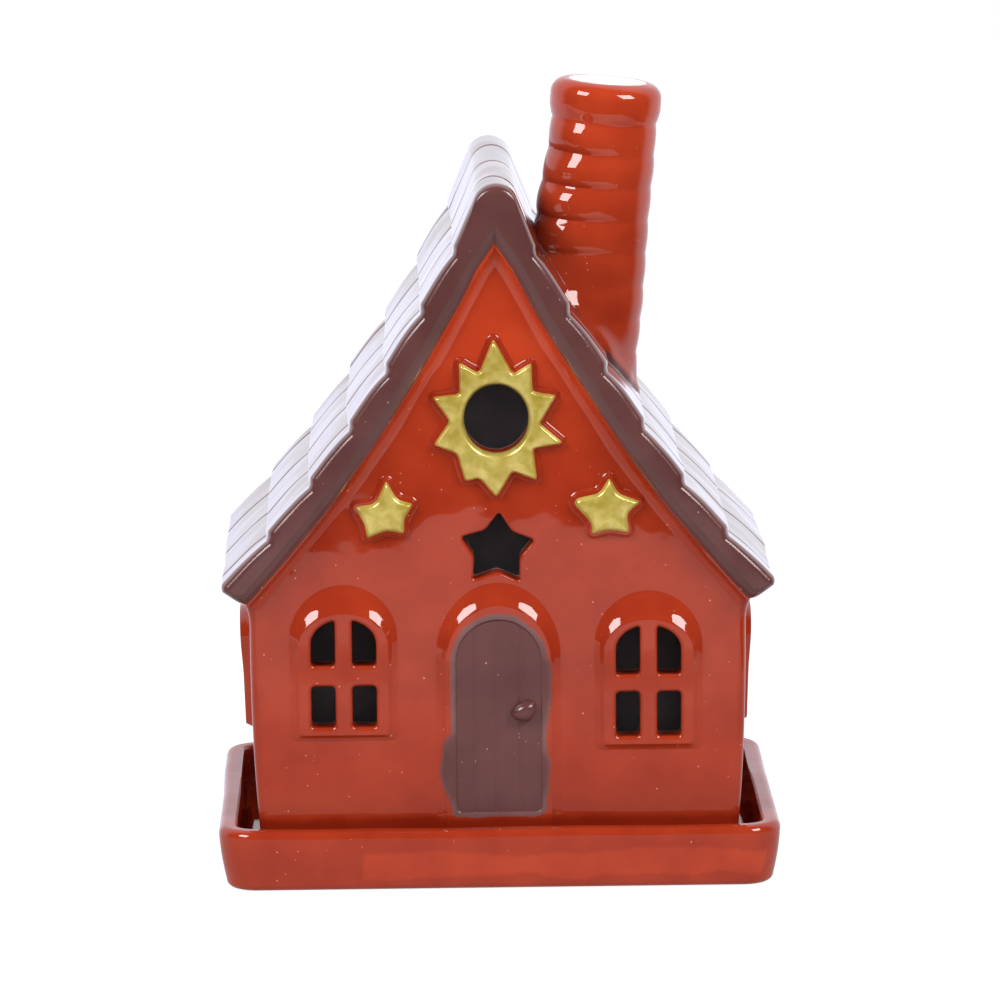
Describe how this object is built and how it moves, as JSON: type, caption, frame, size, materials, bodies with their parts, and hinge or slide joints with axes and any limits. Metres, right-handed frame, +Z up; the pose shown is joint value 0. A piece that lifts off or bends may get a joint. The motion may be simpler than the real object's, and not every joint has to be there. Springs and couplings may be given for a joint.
{
  "type": "house incense cone burner",
  "caption": "Glazed pottery house with a gabled shingle roof and a round chimney that lifts off a rectangular tray, where a small dish holds a burning incense cone and smoke leaves by the flue.",
  "frame": {"origin": "middle of the tray's underside, on the surface that the burner stands on", "axes": "+Z up through the roof's ridge, -Y out of the front with the door, +X to the right of someone facing the door"},
  "size_m": [0.1106, 0.0846, 0.1557],
  "materials": {
    "red_glaze": "glossy brick-red glaze with a slightly wavy surface",
    "brown_glaze": "glossy purplish-brown glaze",
    "gold_lustre": "thin metallic gold lustre over glaze",
    "brass": "plain spun brass, slightly dulled"
  },
  "bodies": {
    "tray": {"tray": "red_glaze"},
    "cone_dish": {"cone_dish": "brass"},
    "house": {"wall_shell": "red_glaze", "roof_shell": "brown_glaze", "chimney": "red_glaze", "door_surround": "red_glaze", "door_leaf": "brown_glaze", "door_knob": "brown_glaze", "front_window_surround_left": "red_glaze", "front_window_surround_right": "red_glaze", "side_window_surround_left": "red_glaze", "side_window_surround_right": "red_glaze", "sun_ring": "gold_lustre", "gold_star_left": "gold_lustre", "gold_star_right": "gold_lustre"}
  },
  "joints": [
    {"name": "house_lift", "type": "slide", "parent": "tray", "child": "house", "axis": [0, 0, 1], "range_m": [0, 0.09]},
    {"name": "cone_dish_lift", "type": "slide", "parent": "tray", "child": "cone_dish", "axis": [0, 0, 1], "range_m": [0, 0.03]}
  ]
}
